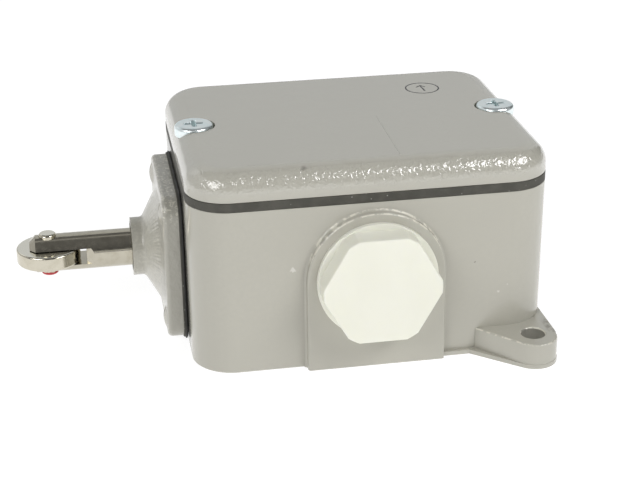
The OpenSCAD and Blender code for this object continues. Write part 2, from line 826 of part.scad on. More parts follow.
// Plan of the fork's slot, with slanted flanks at its end
module slot_plan() {
    outer = plunger_d / 2 + cut;
    inner = plunger_d / 2 - slot_flank_depth;
    flank_end_x = slot_end_x + slot_flank / slot_flank_depth * (outer - inner);
    polygon([[fork_tip_x - cut, -outer], [flank_end_x, -outer], [slot_end_x, -inner],
        [slot_end_x, inner], [flank_end_x, outer], [fork_tip_x - cut, outer]]);
}

module plunger() {
    rod_l = carrier_x - fork_tip_x;
    rod_r = plunger_d / 2;
    color(steel) difference() {
        on_axis(fork_tip_x) rotate_extrude()
            polygon([[0, 0], [rod_r - fork_bevel, 0], [rod_r, fork_bevel], [rod_r, rod_l],
                [spigot_d / 2, rod_l], [spigot_d / 2, rod_l + spigot_l], [0, rod_l + spigot_l]]);
        translate([0, 0, axis_z - slot_h / 2]) linear_extrude(height = slot_h) slot_plan();
        translate([pin_x, 0, axis_z - plunger_d])
            cylinder(d = pin_d + 2 * set_gap, h = 2 * plunger_d);
        on_axis(stop_x) ring(plunger_d + cut, plunger_d - 2 * stop_groove, stop_ring_t);
    }
}

module roller() {
    half = roller_t / 2;
    rim = roller_d / 2;
    bore = pin_d / 2 + run_gap;
    color(steel) translate([pin_x, 0, axis_z]) rotate_extrude()
        polygon([[bore, -half], [rim - roller_bevel, -half], [rim, -half + roller_bevel],
            [rim, half - roller_bevel], [rim - roller_bevel, half], [bore, half]]);
}

module roller_pin() {
    half = plunger_d / 2 + pin_stand_out;
    color(steel) translate([pin_x, 0, axis_z]) rotate_extrude()
        polygon([[0, -half], [pin_d / 2 - pin_bevel, -half], [pin_d / 2, -half + pin_bevel],
            [pin_d / 2, half - pin_bevel], [pin_d / 2 - pin_bevel, half], [0, half]]);
}

module stop_ring() {
    color(steel) difference() {
        on_axis(stop_x) ring(stop_ring_d, plunger_d - 2 * stop_groove + 2 * set_gap, stop_ring_t);
        translate([stop_x - cut, -stop_ring_mouth / 2, axis_z])
            cube([stop_ring_t + 2 * cut, stop_ring_mouth, stop_ring_d]);
    }
}

module spring_seat() {
    color(zinc) on_axis(seat_x) ring(spring_seat_d, plunger_d + 2 * set_gap, spring_seat_t);
}

module return_spring() {
    color(steel) on_axis(spring_x)
        coil(spring_mean_r, spring_wire_d, spring_length, spring_turns, return_steps, return_slices);
}

// Cable entry

module cable_plug() {
    hollow_d = entry_thread_d - 2 * plug_wall;
    hollow_l = plug_thread_l + plug_collar_t;
    color(plug_white) translate([0, pad_y, entry_z]) rotate([90, 0, 0]) difference() {
        union() {
            cylinder(d = plug_collar_d, h = plug_collar_t);
            intersection() {
                cylinder(d = plug_hex_af / cos(30), h = plug_collar_t + plug_hex_l, $fn = 6);
                cylinder(d = plug_hex_corner_d, h = plug_collar_t + plug_hex_l);
            }
            translate([0, 0, -plug_thread_l]) cylinder(d = entry_thread_d, h = plug_thread_l);
        }
        translate([0, 0, -plug_thread_l - cut]) cylinder(d = hollow_d, h = hollow_l + cut);
    }
}

module plug_seal_ring() {
    color(rubber_black) translate([0, pad_y, entry_z]) rotate([-90, 0, 0])
        ring(seal_recess_d - 2 * set_gap, entry_thread_d + 2 * set_gap, seal_t);
}

// Contacts

// Puts its children at the four terminals
module terminal_places(z) {
    for (x = [nc_terminal_x, no_terminal_x], side = [-1, 1])
        translate([x, side * contact_y, z]) children();
}

module contact_block() {
    head_bore_d = block_head_d + 2 * pass_gap;
    foot_z = block_z + block_foot_t;
    color(moulding_brown) difference() {
        translate([block_x, -block_width / 2, block_z])
            cube([block_end_x - block_x, block_width, block_height]);
        translate([block_x + block_end_wall, -channel_half_w, channel_z])
            cube([channel_end_x - block_x - block_end_wall, 2 * channel_half_w, block_height]);
        translate([nc_strip_x, -pocket_half_w, channel_z])
            cube([nc_pocket_end_x - nc_strip_x, 2 * pocket_half_w, block_height]);
        translate([no_pocket_x, -pocket_half_w, channel_z])
            cube([no_strip_x + strip_t - no_pocket_x, 2 * pocket_half_w, block_height]);
        on_axis(block_x - cut) cylinder(d = plunger_d + 2 * free_gap, h = block_end_wall + 2 * cut);
        for (side = [-1, 1])
            translate([block_screw_x, side * block_screw_y, 0]) {
                translate([0, 0, block_z - cut])
                    cylinder(d = block_screw_d + 2 * pass_gap, h = block_height);
                translate([0, 0, foot_z]) cylinder(d = head_bore_d, h = block_height);
            }
        terminal_places(clamp_z - terminal_screw_l - cut)
            cylinder(d = terminal_screw_d + 2 * thread_gap, h = block_height);
    }
}

module block_screws() {
    grip = body_floor / 2 + block_post_h - thread_gap;
    color(zinc) for (side = [-1, 1])
        translate([block_screw_x, side * block_screw_y, block_z + block_foot_t])
            pan_screw(block_head_d, block_head_h, inside_head_round_r, inside_recess,
                block_screw_d, block_foot_t + grip);
}

module contact_carrier() {
    window_h = bridge_h + 2 * slide_gap;
    half = carrier_size / 2;
    color(moulding_cream) difference() {
        translate([carrier_x, -half, axis_z - half])
            cube([carrier_end_x - carrier_x, carrier_size, carrier_size]);
        for (x = [nc_window_x, no_window_x])
            translate([x, -half - cut, axis_z - window_h / 2])
                cube([window_l, carrier_size + 2 * cut, window_h]);
        on_axis(carrier_x - cut) cylinder(d = spigot_d + 2 * set_gap, h = spigot_l + 2 * cut);
    }
}

// Flat bridge across the carrier
module bridge(x) {
    translate([x, -bridge_l / 2, axis_z - bridge_h / 2]) cube([strip_t, bridge_l, bridge_h]);
}

module nc_bridge() {
    color(brass_yellow) bridge(nc_window_x);
}

module no_bridge() {
    color(brass_yellow) bridge(no_bridge_x);
}

// Pair of contact tips that start at x
module tips(x) {
    for (side = [-1, 1])
        translate([0, side * contact_y, 0]) on_axis(x) cylinder(d = tip_d, h = tip_t);
}

module bridge_tips() {
    color(silver) {
        tips(nc_window_x - tip_t);
        tips(no_window_end_x);
    }
}

module fixed_tips() {
    color(silver) {
        tips(nc_strip_x + strip_t);
        tips(no_strip_x - tip_t);
    }
}

module bridge_springs() {
    color(steel) for (x = [nc_window_x + strip_t, no_window_x])
        on_axis(x)
            coil(bridge_spring_mean_r, bridge_spring_wire_d, bridge_spring_l, bridge_spring_turns,
                bridge_steps, bridge_slices);
}

// Fixed contact strips: an upright leg in the pocket and a seat on top of the block, from x to seat_x
module terminals(x, seat_x) {
    foot_z = axis_z - bridge_h / 2;
    seat_start_x = min(x, seat_x);
    seat_end_x = max(x + strip_t, seat_x);
    for (side = [-1, 1])
        translate([0, side * contact_y - strip_w / 2, 0]) difference() {
            union() {
                translate([x, 0, foot_z]) cube([strip_t, strip_w, clamp_z - foot_z]);
                translate([seat_start_x, 0, block_top_z])
                    cube([seat_end_x - seat_start_x, strip_w, strip_t]);
            }
            translate([(seat_x + (x < seat_x ? x + strip_t : x)) / 2, strip_w / 2, block_top_z - cut])
                cylinder(d = terminal_screw_d + 2 * pass_gap, h = strip_t + 2 * cut);
        }
}

module nc_terminals() {
    color(brass_yellow) terminals(nc_strip_x, nc_strip_x - terminal_length);
}

module no_terminals() {
    color(brass_yellow) terminals(no_strip_x, block_end_x);
}

// Square clamp plate with a screw hole
module clamp() {
    difference() {
        translate([-clamp_size / 2, -clamp_size / 2, 0]) cube([clamp_size, clamp_size, clamp_t]);
        translate([0, 0, -cut])
            cylinder(d = terminal_screw_d + 2 * pass_gap, h = clamp_t + 2 * cut);
    }
}

module terminal_clamps() {
    color(zinc) terminal_places(clamp_z) clamp();
}

module terminal_screws() {
    color(zinc) terminal_places(clamp_z + clamp_t)
        pan_screw(terminal_head_d, terminal_head_h, inside_head_round_r, inside_recess,
            terminal_screw_d, terminal_screw_l + clamp_t);
}

module earth_clamp() {
    color(zinc) translate([earth_x, earth_y, earth_z]) clamp();
}

module earth_screw() {
    grip = earth_post_h + body_floor / 2 - thread_gap;
    color(zinc) translate([earth_x, earth_y, earth_z + clamp_t])
        pan_screw(terminal_head_d, terminal_head_h, inside_head_round_r, inside_recess,
            terminal_screw_d, grip + clamp_t);
}

body_housing();
cover();
cover_gasket();
cover_screws();
actuator_head();
head_gasket();
head_screws();
guide_bush();
wiper_ring();
plunger();
roller();
roller_pin();
stop_ring();
spring_seat();
return_spring();
cable_plug();
plug_seal_ring();
contact_block();
block_screws();
contact_carrier();
nc_bridge();
no_bridge();
bridge_tips();
bridge_springs();
nc_terminals();
no_terminals();
fixed_tips();
terminal_clamps();
terminal_screws();
earth_clamp();
earth_screw();
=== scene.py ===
"""Looks of a roller plunger limit switch: finishes, rounded edges, marks, stage, light and camera."""

import math

import bmesh
import bpy
from mathutils import Matrix, Vector


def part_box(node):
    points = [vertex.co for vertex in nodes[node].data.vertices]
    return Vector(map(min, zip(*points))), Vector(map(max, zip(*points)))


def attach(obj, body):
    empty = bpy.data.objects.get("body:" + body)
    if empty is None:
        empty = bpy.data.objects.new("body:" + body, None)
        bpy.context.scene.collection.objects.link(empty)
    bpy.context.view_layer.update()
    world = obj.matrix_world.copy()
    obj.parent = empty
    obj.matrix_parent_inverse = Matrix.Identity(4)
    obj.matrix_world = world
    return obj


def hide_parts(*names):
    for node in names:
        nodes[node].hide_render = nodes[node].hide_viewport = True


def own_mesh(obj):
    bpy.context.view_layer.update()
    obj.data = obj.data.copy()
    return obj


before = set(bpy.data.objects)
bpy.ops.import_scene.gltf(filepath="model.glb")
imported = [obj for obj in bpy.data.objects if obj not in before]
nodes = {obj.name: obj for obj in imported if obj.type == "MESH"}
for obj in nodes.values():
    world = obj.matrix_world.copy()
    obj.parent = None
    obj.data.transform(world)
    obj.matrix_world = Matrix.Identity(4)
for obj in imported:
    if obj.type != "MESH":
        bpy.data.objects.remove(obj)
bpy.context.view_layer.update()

# One millimetre, in the frame's metres
MM = 0.001

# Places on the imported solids, in millimetres
cover_low, cover_high = (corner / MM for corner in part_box("cover"))
pin_low, pin_high = (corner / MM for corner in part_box("roller_pin"))
roller_low, roller_high = (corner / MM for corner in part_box("roller"))
seal_low, seal_high = (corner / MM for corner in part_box("head_gasket"))
head_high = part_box("actuator_head")[1] / MM
head_axis = (seal_low + seal_high) / 2
PLATE_THICKNESS = 3.7
plate_face = head_high.x - PLATE_THICKNESS


# Materials

# Colour sockets of a mix node, whose names repeat
MIX_FIRST = 6
MIX_SECOND = 7
MIX_RESULT = 2


class Finish:
    """One procedural material: a Principled shader and the nodes that feed it. Lengths are millimetres."""

    def __init__(self, name):
        self.material = bpy.data.materials.new(name)
        self.material.use_nodes = True
        self.tree = self.material.node_tree
        self.shader = self.tree.nodes["Principled BSDF"]
        self.place = self.node("TexCoord").outputs["Object"]

    def node(self, kind, settings=None, **inputs):
        """A new node; each input is a socket to link or a constant."""
        made = self.tree.nodes.new("ShaderNode" + kind)
        for key, value in (settings or {}).items():
            setattr(made, key, value)
        for key, value in inputs.items():
            self.feed(made.inputs[key.replace("_", " ")], value)
        return made

    def feed(self, socket, value):
        """Links a socket, or sets it where the value is a constant."""
        if isinstance(value, bpy.types.NodeSocket):
            self.tree.links.new(value, socket)
        else:
            socket.default_value = value

    def noise(self, size, detail=2.0, stretch=None, warp=0.0):
        """Noise with features of about the given size; stretch scales each axis of it."""
        place = self.place
        if stretch:
            place = self.node("Mapping", Vector=place, Scale=stretch).outputs[0]
        made = self.node("TexNoise", Vector=place, Scale=1 / (size * MM), Detail=detail, Distortion=warp)
        return made.outputs["Fac"]

    def cells(self, size, smooth=0.7):
        """Rounded cells of about the given size: 0 at their centres."""
        made = self.node("TexVoronoi", {"feature": "SMOOTH_F1"}, Vector=self.place,
                         Scale=1 / (size * MM), Smoothness=smooth)
        return made.outputs["Distance"]

    def span(self, value, low, high, to_low=0.0, to_high=1.0):
        """Maps low..high of a value to another range, smoothly, and stops at its ends."""
        made = self.node("MapRange", {"interpolation_type": "SMOOTHSTEP"}, Value=value,
                         From_Min=low, From_Max=high, To_Min=to_low, To_Max=to_high)
        return made.outputs["Result"]

    def math(self, operation, first, second):
        """One operation on two values."""
        made = self.node("Math", {"operation": operation})
        self.feed(made.inputs[0], first)
        self.feed(made.inputs[1], second)
        return made.outputs[0]

    def mix(self, factor, first, second):
        """Colour between two colours."""
        made = self.node("Mix", {"data_type": "RGBA"})
        self.feed(made.inputs[0], factor)
        self.feed(made.inputs[MIX_FIRST], first)
        self.feed(made.inputs[MIX_SECOND], second)
        return made.outputs[MIX_RESULT]

    def axis(self, letter):
        """Place along one axis of the frame, in metres."""
        return self.node("SeparateXYZ", Vector=self.place).outputs[letter]

    def around_head(self, low, high):
        """Mask that fades from 1 to 0 between two half sizes of a square round the head's axis."""
        sideways = self.math("ABSOLUTE", self.axis("Y"), 0.0)
        upwards = self.math("ABSOLUTE", self.math("SUBTRACT", self.axis("Z"), head_axis.z * MM), 0.0)
        return self.span(self.math("MAXIMUM", sideways, upwards), low * MM, high * MM, 1.0, 0.0)

    def spot(self, centre, radius, ragged=0.35, core=0.6):
        """Mask of a ragged spot around a point, full inside its core."""
        away = self.node("VectorMath", {"operation": "DISTANCE"})
        self.feed(away.inputs[0], self.place)
        away.inputs[1].default_value = Vector(centre) * MM
        wobble = self.span(self.noise(radius * 0.8), 0.3, 0.7, -ragged, ragged)
        reach = self.math("DIVIDE", away.outputs["Value"], radius * MM)
        return self.span(self.math("ADD", reach, wobble), core, 1.1, 1.0, 0.0)

    def bore(self, x, y, radius):
        """Mask of the inside of an upright hole, where shade is painted."""
        flat = self.node("VectorMath", {"operation": "MULTIPLY"})
        self.feed(flat.inputs[0], self.place)
        flat.inputs[1].default_value = (1, 1, 0)
        away = self.node("VectorMath", {"operation": "DISTANCE"})
        self.feed(away.inputs[0], flat.outputs[0])
        away.inputs[1].default_value = (x * MM, y * MM, 0)
        return self.span(away.outputs["Value"], radius * MM, (radius + 0.2) * MM, 1.0, 0.0)

    def edge_highlights(self):
        """Broken mask of surfaces that lean between upright and level, for painted highlights along rounded
        edges.
        """
        lean = self.node("SeparateXYZ", Vector=self.node("NewGeometry").outputs["Normal"]).outputs["Z"]
        leaning = self.math("MULTIPLY", self.span(lean, 0.2, 0.4), self.span(lean, 0.8, 0.95, 1.0, 0.0))
        return self.math("MULTIPLY", leaning, self.span(self.noise(1.3, detail=2), 0.40, 0.58))

    def spots(self, *places):
        """Mask of several spots, each a centre and a radius."""
        whole = self.spot(*places[0])
        for place in places[1:]:
            whole = self.math("MAXIMUM", whole, self.spot(*place))
        return whole

    def bump(self, height, depth, below=None):
        """Normal of a height of the given depth, on top of another normal."""
        made = self.node("Bump", Height=height, Distance=depth * MM)
        if below is not None:
            self.feed(made.inputs["Normal"], below)
        return made.outputs["Normal"]

    def rough(self, size, low, high):
        """Roughness that drifts between two values, in patches of about the given size."""
        return self.span(self.noise(size, detail=3), 0.3, 0.7, low, high)

    def show(self, **sockets):
        """Feeds the shader and gives the material."""
        for socket, value in sockets.items():
            self.feed(self.shader.inputs[socket.replace("_", " ")], value)
        return self.material


def shade(colour, factor):
    """A colour made darker or lighter."""
    return tuple(channel * factor for channel in colour[:3]) + (1,)


# Paint, with its marks as centres and radii in millimetres, and where its painted shade and painted glints
# reach
PAINT_COLOUR = (0.455, 0.442, 0.384, 1)
COAT_ROUGHNESS = 0.045
LUG_HOLES = ((36.5, -39.0), (-36.5, 39.0))
LUG_HOLE_RADIUS = 2.8
CHIP_COLOUR = (0.61, 0.60, 0.55, 1)
CHIPS = (((-19.0, -33.8, 25.0), 0.65), ((29.25, -33.7, 15.2), 0.35), ((31.35, -33.7, 16.8), 0.25))
SPECK_COLOUR = (0.16, 0.155, 0.14, 1)
SPECKS = (((23.4, -33.8, 23.2), 0.25),)
SMUDGE_COLOUR = (0.24, 0.23, 0.20, 1)
SMUDGE_PLACE = (-15.8, -31.35, 48.4)
SMUDGE_RADIUS = 1.0
# Half sizes of a square round the head's axis over which the painted shade on the wall by the head fades out
HEAD_SHADE_INNER = 20.5
HEAD_SHADE_OUTER = 23.5
LEATHER_SIZE = 1.1
LEATHER_DEPTH = 0.18
LEATHER_ABOVE_RIM = 0.9
LEATHER_BELOW_TOP = 0.15
LEATHER_RISE = 1.6
LEATHER_FALL = 0.5
LEATHER_FRONT = -29
LEATHER_BACK = -24
FLANGE_FADE = 0.4
# Heights over the head's axis where the painted glints on the plate start and are full
GLINTS_FROM = 11
GLINTS_FULL = 15


def paint_tone(finish, colour):
    """Paint colour with broad clouds and a fine grain."""
    clouds = finish.span(finish.noise(22, detail=3), 0.3, 0.7)
    grain = finish.span(finish.noise(0.9, detail=2), 0.25, 0.75)
    cloudy = finish.mix(clouds, shade(colour, 0.98), shade(colour, 1.01))
    return finish.mix(grain, shade(colour, 0.985), cloudy)


def body_paint():
    """Stoved grey paint on the housing, with a few chips and specks on its front, painted shade by the head
    and in the lug holes, and painted highlights on rounded edges.
    """
    finish = Finish("body_paint")
    tone = paint_tone(finish, PAINT_COLOUR)
    light_spots = finish.spots(*CHIPS)
    dark_spots = finish.spots(*SPECKS)
    tone = finish.mix(light_spots, tone, CHIP_COLOUR)
    tone = finish.mix(dark_spots, tone, SPECK_COLOUR)
    # Painted shade: the left wall is darkened round the head, next to the gasket, where plate and gasket
    # shade it
    wall = finish.span(finish.axis("X"), (seal_high.x + 0.1) * MM, (seal_high.x + 0.3) * MM, 1.0, 0.0)
    head_shade = finish.math("MULTIPLY", wall, finish.around_head(HEAD_SHADE_INNER, HEAD_SHADE_OUTER))
    tone = finish.mix(head_shade, tone, shade(PAINT_COLOUR, 0.35))
    # Painted shade: the insides of the lug holes are darkened
    for x, y in LUG_HOLES:
        tone = finish.mix(finish.bore(x, y, LUG_HOLE_RADIUS), tone, shade(PAINT_COLOUR, 0.62))
    # Painted highlights: rounded edges that lean upwards are lightened
    tone = finish.mix(finish.edge_highlights(), tone, shade(PAINT_COLOUR, 1.5))
    skin = finish.bump(finish.noise(1.6, detail=2), 0.004)
    rough = finish.rough(4, 0.18, 0.25)
    return finish.show(Base_Color=tone, Roughness=rough, Normal=skin, Coat_Normal=skin,
                       Coat_Weight=0.3, Coat_Roughness=COAT_ROUGHNESS)


def cover_paint():
    """The same paint on the cover, leathery on the rounding, most of all along its front."""
    finish = Finish("cover_paint")
    tone = paint_tone(finish, PAINT_COLOUR)
    smudge = finish.spot(SMUDGE_PLACE, SMUDGE_RADIUS, ragged=0.2, core=0.0)
    tone = finish.mix(smudge, tone, SMUDGE_COLOUR)
    rise = finish.axis("Z")
    round_low, round_high = cover_low.z + LEATHER_ABOVE_RIM, cover_high.z - LEATHER_BELOW_TOP
    above = finish.span(rise, round_low * MM, (round_low + LEATHER_RISE) * MM)
    below = finish.span(rise, (round_high - LEATHER_FALL) * MM, round_high * MM, 1.0, 0.0)
    front = finish.span(finish.axis("Y"), LEATHER_FRONT * MM, LEATHER_BACK * MM, 1.0, 0.25)
    on_rounding = finish.math("MULTIPLY", finish.math("MULTIPLY", above, below), front)
    leather = finish.noise(LEATHER_SIZE, detail=1.0, warp=1.0)
    skin = finish.bump(finish.noise(1.6, detail=2), 0.003)
    hide = finish.bump(finish.math("MULTIPLY", leather, on_rounding), LEATHER_DEPTH, skin)
    rough = finish.rough(4, 0.18, 0.25)
    return finish.show(Base_Color=tone, Roughness=rough, Normal=hide, Coat_Normal=hide,
                       Coat_Weight=finish.span(on_rounding, 0.0, 1.0, 0.5, 1.0),
                       Coat_Roughness=COAT_ROUGHNESS, Coat_IOR=1.75)


def head_paint():
    """The same paint over the rougher casting of the actuator head and its screws, with painted shade on its
    plate and painted glints high on the plate.
    """
    finish = Finish("head_paint")
    tone = paint_tone(finish, PAINT_COLOUR)
    cast = finish.span(finish.noise(0.7, detail=3), 0.42, 0.68)
    tone = finish.mix(cast, tone, shade(PAINT_COLOUR, 1.14))
    flange = finish.span(finish.axis("X"), (plate_face - FLANGE_FADE) * MM, (plate_face + FLANGE_FADE) * MM)
    # Painted shade: the square plate is made darker than the cone
    tone = finish.mix(flange, tone, shade(PAINT_COLOUR, 0.90))
    # Painted highlights: light squiggles high on the plate stand in for glints
    upper = finish.span(finish.axis("Z"), (head_axis.z + GLINTS_FROM) * MM, (head_axis.z + GLINTS_FULL) * MM)
    glint_pattern = finish.span(finish.noise(0.9, detail=1, warp=1.2), 0.54, 0.62)
    painted_glints = finish.math("MULTIPLY", finish.math("MULTIPLY", flange, upper), glint_pattern)
    tone = finish.mix(painted_glints, tone, shade(PAINT_COLOUR, 1.35))
    lumpy = finish.span(flange, 0.0, 1.0, 0.02, 1.0)
    lumps = finish.bump(finish.math("MULTIPLY", finish.noise(1.7, detail=2.5), lumpy), 0.24)
    skin = finish.bump(finish.noise(0.35, detail=2), 0.004, lumps)
    rough = finish.rough(3, 0.30, 0.44)
    return finish.show(Base_Color=tone, Roughness=rough, Normal=skin, Coat_Normal=lumps,
                       Coat_Weight=0.5, Coat_Roughness=COAT_ROUGHNESS)


def black_rubber():
    """Matt black rubber with a dusty bloom and a few light grains."""
    finish = Finish("black_rubber_sheet")
    bloom = finish.span(finish.noise(3, detail=4), 0.35, 0.7)
    tone = finish.mix(bloom, (0.053, 0.051, 0.041, 1), (0.073, 0.070, 0.057, 1))
    grains = finish.span(finish.cells(1.9, smooth=0.1), 0.05, 0.09, 1.0, 0.0)
    tone = finish.mix(grains, tone, (0.30, 0.30, 0.27, 1))
    skin = finish.bump(finish.noise(0.4, detail=3), 0.03)
    return finish.show(Base_Color=tone, Roughness=0.62, Normal=skin)


def painted_shade_lip():
    """Rubber where the gasket is squeezed out, coloured near black as painted shade of the crevice beside
    the wall.
    """
    finish = Finish("lip_painted_shade")
    bloom = finish.span(finish.noise(1.2, detail=3), 0.35, 0.7)
    tone = finish.mix(bloom, (0.010, 0.010, 0.009, 1), (0.022, 0.021, 0.018, 1))
    return finish.show(Base_Color=tone, Roughness=0.6, Normal=finish.bump(finish.noise(0.4, detail=3), 0.02))


def white_plastic():
    """Moulded white plastic with a faint flow pattern and dull gloss."""
    finish = Finish("white_plastic_moulding")
    flow = finish.span(finish.noise(9, detail=3, stretch=(1, 1, 0.5)), 0.3, 0.7)
    tone = finish.mix(flow, (0.815, 0.813, 0.715, 1), (0.835, 0.833, 0.737, 1))
    skin = finish.bump(finish.noise(0.8, detail=2), 0.006)
    rough = finish.rough(2.5, 0.34, 0.46)
    return finish.show(Base_Color=tone, Roughness=rough, Normal=skin, Subsurface_Weight=0.3,
                       Subsurface_Radius=(1, 1, 0.8), Subsurface_Scale=2.5 * MM)


# Nickel, with the depths of its ground faces and of the red end of the pin in millimetres
ROD_NICKEL = ((0.51, 0.48, 0.40, 1), (0.45, 0.42, 0.34, 1))
ROLLER_NICKEL = ((0.61, 0.575, 0.48, 1), (0.55, 0.515, 0.42, 1))
GROUND_NICKEL = (0.82, 0.80, 0.71, 1)
FACE_FADE = 0.12
FACE_FULL = 0.02
RED_PAINT = (0.55, 0.035, 0.04, 1)
RED_LEAST = 0.75
RED_MOST = 0.95


def nickel(name, turned_about, bright, dull, face_level=None, red_end=False):
    """Nickel plated steel with fine turning marks; a ground top face or a lower end marked red."""
    finish = Finish(name)
    stain = finish.span(finish.noise(2.2, detail=3), 0.35, 0.75)
    tone = finish.mix(stain, bright, dull)
    lines = finish.noise(0.5, detail=2, stretch=turned_about)
    skin = finish.bump(lines, 0.002)
    rough = finish.rough(1.2, 0.12, 0.22)
    metallic = 1.0
    if face_level:
        over = finish.span(finish.axis("Z"), (face_level - FACE_FADE) * MM, (face_level - FACE_FULL) * MM)
        tone = finish.mix(over, tone, GROUND_NICKEL)
    if red_end:
        edge = finish.span(finish.noise(0.8), 0.3, 0.7, pin_low.z + RED_LEAST, pin_low.z + RED_MOST)
        paint = finish.math("LESS_THAN", finish.axis("Z"), finish.math("MULTIPLY", edge, MM))
        tone = finish.mix(paint, tone, RED_PAINT)
        rough = finish.math("ADD", rough, finish.math("MULTIPLY", paint, 0.2))
        metallic = finish.math("SUBTRACT", 1.0, paint)
    return finish.show(Base_Color=tone, Roughness=rough, Metallic=metallic, Normal=skin)


def plated_steel():
    """Blue passivated zinc on screws and clamps."""
    finish = Finish("blue_zinc")
    bloom = finish.span(finish.noise(1.4, detail=3), 0.35, 0.7)
    tone = finish.mix(bloom, (0.84, 0.93, 0.94, 1), (0.90, 0.95, 0.95, 1))
    skin = finish.bump(finish.noise(0.25, detail=2), 0.004)
    rough = finish.rough(0.9, 0.29, 0.40)
    return finish.show(Base_Color=tone, Roughness=rough, Metallic=1.0, Normal=skin)


def metal(name, bright, dull, rough_low, rough_high, grain):
    """Bare metal that dulls in patches, with a fine grain."""
    finish = Finish(name)
    patches = finish.span(finish.noise(2.5, detail=4), 0.35, 0.7)
    tone = finish.mix(patches, bright, dull)
    skin = finish.bump(finish.noise(grain, detail=2), 0.004)
    rough = finish.rough(1.0, rough_low, rough_high)
    return finish.show(Base_Color=tone, Roughness=rough, Metallic=1.0, Normal=skin)


def moulding(name, dark, light, speck):
    """Moulded insulating resin with fine filler specks."""
    finish = Finish(name)
    clouds = finish.span(finish.noise(5, detail=4), 0.3, 0.7)
    fillers = finish.span(finish.noise(0.3, detail=2), 0.62, 0.72)
    tone = finish.mix(fillers, finish.mix(clouds, dark, light), speck)
    skin = finish.bump(finish.noise(0.5, detail=2), 0.008)
    rough = finish.rough(2, 0.34, 0.48)
    return finish.show(Base_Color=tone, Roughness=rough, Normal=skin)


def black_ink():
    """Stamped ink, thin in places."""
    finish = Finish("black_ink")
    thin = finish.span(finish.noise(0.5, detail=3), 0.35, 0.75)
    tone = finish.mix(thin, (0.030, 0.030, 0.034, 1), (0.085, 0.085, 0.090, 1))
    return finish.show(Base_Color=tone, Roughness=0.5)


def dress(material, *names):
    """Puts a material on CAD nodes."""
    for name in names:
        nodes[name].data.materials.clear()
        nodes[name].data.materials.append(material)


ALONG_X = (0.06, 1, 1)
ALONG_Z = (1, 1, 0.06)
AROUND_Z = (0.06, 0.06, 1)

dress(body_paint(), "body_housing")
dress(cover_paint(), "cover")
dress(head_paint(), "actuator_head", "head_screws")
dress(black_rubber(), "cover_gasket", "head_gasket", "wiper_ring", "plug_seal_ring")
dress(white_plastic(), "cable_plug")
dress(nickel("nickel_rod", ALONG_X, *ROD_NICKEL), "plunger")
dress(nickel("nickel_roller", AROUND_Z, *ROLLER_NICKEL, face_level=roller_high.z), "roller")
dress(nickel("nickel_pin", ALONG_Z, *ROLLER_NICKEL, face_level=pin_high.z, red_end=True), "roller_pin")
dress(plated_steel(), "cover_screws", "block_screws", "terminal_screws", "terminal_clamps",
      "earth_screw", "earth_clamp", "spring_seat")
dress(metal("spring_wire", (0.50, 0.49, 0.46, 1), (0.36, 0.35, 0.33, 1), 0.22, 0.36, 0.2),
      "return_spring", "bridge_springs", "stop_ring")
dress(metal("sintered_bronze", (0.62, 0.40, 0.20, 1), (0.45, 0.28, 0.14, 1), 0.34, 0.50, 0.15), "guide_bush")
dress(metal("brass_strip", (0.78, 0.58, 0.27, 1), (0.66, 0.47, 0.21, 1), 0.20, 0.34, 0.3),
      "nc_bridge", "no_bridge", "nc_terminals", "no_terminals")
dress(metal("silver_rivet", (0.86, 0.85, 0.82, 1), (0.70, 0.68, 0.63, 1), 0.22, 0.36, 0.2),
      "bridge_tips", "fixed_tips")
dress(moulding("brown_resin", (0.060, 0.030, 0.018, 1), (0.082, 0.042, 0.025, 1), (0.15, 0.09, 0.05, 1)),
      "contact_block")
dress(moulding("cream_resin", (0.60, 0.54, 0.40, 1), (0.66, 0.60, 0.46, 1), (0.74, 0.69, 0.56, 1)),
      "contact_carrier")


# Edges

WELD_REACH = 1e-6
FLAT_ANGLE = math.radians(0.3)
EDGE_ANGLE = math.radians(30)
EDGE_STEPS = 4
EVERYWHERE = ((-200, -200, -200), (200, 200, 200))
RIM_REACH = 16.3
RIM_DEPTH = 0.5
RIM_SIDE = 20
RIM_BOTTOM = -5
RIM_TOP = 60


def plate_rim():
    """Boxes that hold the outer front edges of the head's square plate."""
    near, far = plate_face - RIM_DEPTH, plate_face + RIM_DEPTH
    low, high = head_axis.z - RIM_REACH, head_axis.z + RIM_REACH
    return [((near, -RIM_SIDE, RIM_BOTTOM), (far, -RIM_REACH, RIM_TOP)),
            ((near, RIM_REACH, RIM_BOTTOM), (far, RIM_SIDE, RIM_TOP)),
            ((near, -RIM_SIDE, RIM_BOTTOM), (far, RIM_SIDE, low)),
            ((near, -RIM_SIDE, high), (far, RIM_SIDE, RIM_TOP))]


# Rounding of each node's edges in millimetres, and the boxes that hold the edges to round
EDGES = {
    "body_housing": (0.45, [((20, -50, 5.5), (50, -33.9, 7)), ((-50, 33.9, 5.5), (-20, 50, 7)),
                            ((-17, -37, 0.5), (17, -35.9, 39))]),
    "actuator_head": (1.1, plate_rim()),
    "cover": (0.3, [((-43, -35, 42), (43, 35, 42.3))]),
    "cable_plug": (0.35, [((-20, -50, 0), (20, -42.5, 50))]),
    "cover_gasket": (0.2, [EVERYWHERE]),
    "head_gasket": (0.2, [EVERYWHERE]),
    "cover_screws": (0.12, [EVERYWHERE]),
    "roller_pin": (0.2, [EVERYWHERE]),
    "guide_bush": (0.15, [EVERYWHERE]),
    "contact_block": (0.25, [((-20, -17, 7), (31, 17, 8.5)), ((-20, -17, 33.5), (31, 17, 34.5))]),
    "contact_carrier": (0.2, [EVERYWHERE]),
}


